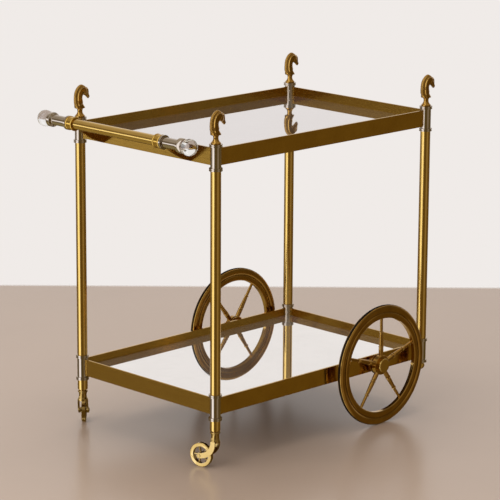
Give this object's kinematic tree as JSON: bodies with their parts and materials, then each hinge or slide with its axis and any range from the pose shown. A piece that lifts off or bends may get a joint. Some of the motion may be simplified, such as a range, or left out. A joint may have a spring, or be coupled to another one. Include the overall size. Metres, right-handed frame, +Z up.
{
  "type": "bar cart",
  "caption": "Tiered brass bar cart with mirror trays, horse-head finials on its posts, a push handle with glass ball ends, large spoked wheels and small swivel casters.",
  "frame": {"origin": "on the floor, in the trays' middle plane, under the middle of the overall length", "axes": "+X from the push handle to the big wheels, +Y across the cart to its far side, +Z up"},
  "size_m": [0.768, 0.4971, 0.758],
  "materials": {
    "satin_brass": "satin antique",
    "rail_brass": "brushed antique",
    "dark_brass": "darkened cast",
    "bright_brass": "pale worn",
    "nickel": "polished nickel",
    "mirror": "polished",
    "glass": "clear polished",
    "steel": "turned",
    "board": "dark stained hardboard",
    "rubber": "matte"
  },
  "bodies": {
    "frame": {"axle_bosses": "dark_brass", "axle_nuts": "steel", "ball_cups": "nickel", "bracket_screws": "steel", "caster_foot_far": "satin_brass", "caster_foot_near": "satin_brass", "glass_ball_far": "glass", "glass_ball_near": "glass", "handle_bar": "satin_brass", "handle_bracket_far": "rail_brass", "handle_bracket_near": "rail_brass", "handle_grips": "nickel", "handle_tie_rod": "steel", "horse_finial_far_handle": "dark_brass", "horse_finial_far_wheel": "dark_brass", "horse_finial_near_handle": "dark_brass", "horse_finial_near_wheel": "dark_brass", "lock_screws": "nickel", "lower_backing_board": "board", "lower_mirror": "mirror", "lower_rail_far": "rail_brass", "lower_rail_handle_end": "rail_brass", "lower_rail_near": "rail_brass", "lower_rail_wheel_end": "rail_brass", "lower_sleeves": "nickel", "post_buttons": "satin_brass", "post_tube_far_handle": "satin_brass", "post_tube_far_wheel": "satin_brass", "post_tube_near_handle": "satin_brass", "post_tube_near_wheel": "satin_brass", "thrust_washers": "steel", "tie_rods": "steel", "upper_backing_board": "board", "upper_mirror": "mirror", "upper_rail_far": "rail_brass", "upper_rail_handle_end": "rail_brass", "upper_rail_near": "rail_brass", "upper_rail_wheel_end": "rail_brass", "upper_sleeves": "nickel", "wheel_axles": "steel"},
    "wheel_near": {"wheel_rim_near": "dark_brass", "wheel_tyre_near": "rubber", "wheel_spokes_near": "dark_brass", "wheel_hub_near": "dark_brass", "hub_cap_near": "satin_brass"},
    "caster_near": {"caster_fork_near": "bright_brass", "caster_stem_near": "steel", "caster_pin_near": "steel"},
    "caster_roller_near": {"caster_wheel_near": "bright_brass"},
    "wheel_far": {"wheel_rim_far": "dark_brass", "wheel_tyre_far": "rubber", "wheel_spokes_far": "dark_brass", "wheel_hub_far": "dark_brass", "hub_cap_far": "satin_brass"},
    "caster_far": {"caster_fork_far": "bright_brass", "caster_stem_far": "steel", "caster_pin_far": "steel"},
    "caster_roller_far": {"caster_wheel_far": "bright_brass"}
  },
  "joints": [
    {"name": "wheel_near_roll", "type": "hinge", "parent": "frame", "child": "wheel_near", "pos_m": [0.20175, -0.2314, 0.1344], "axis": [0, 1, 0], "continuous": true},
    {"name": "caster_near_swivel", "type": "hinge", "parent": "frame", "child": "caster_near", "pos_m": [-0.28125, -0.209, 0.082], "axis": [0, 0, 1], "continuous": true},
    {"name": "caster_near_roll", "type": "hinge", "parent": "caster_near", "child": "caster_roller_near", "pos_m": [-0.28979, -0.17712, 0.026], "axis": [0.9659, 0.2588, 0], "continuous": true},
    {"name": "wheel_far_roll", "type": "hinge", "parent": "frame", "child": "wheel_far", "pos_m": [0.20175, 0.2314, 0.1344], "axis": [0, 1, 0], "continuous": true},
    {"name": "caster_far_swivel", "type": "hinge", "parent": "frame", "child": "caster_far", "pos_m": [-0.28125, 0.209, 0.082], "axis": [0, 0, 1], "continuous": true},
    {"name": "caster_far_roll", "type": "hinge", "parent": "caster_far", "child": "caster_roller_far", "pos_m": [-0.25792, 0.23234, 0.026], "axis": [0.7071, -0.7071, 0], "continuous": true}
  ]
}
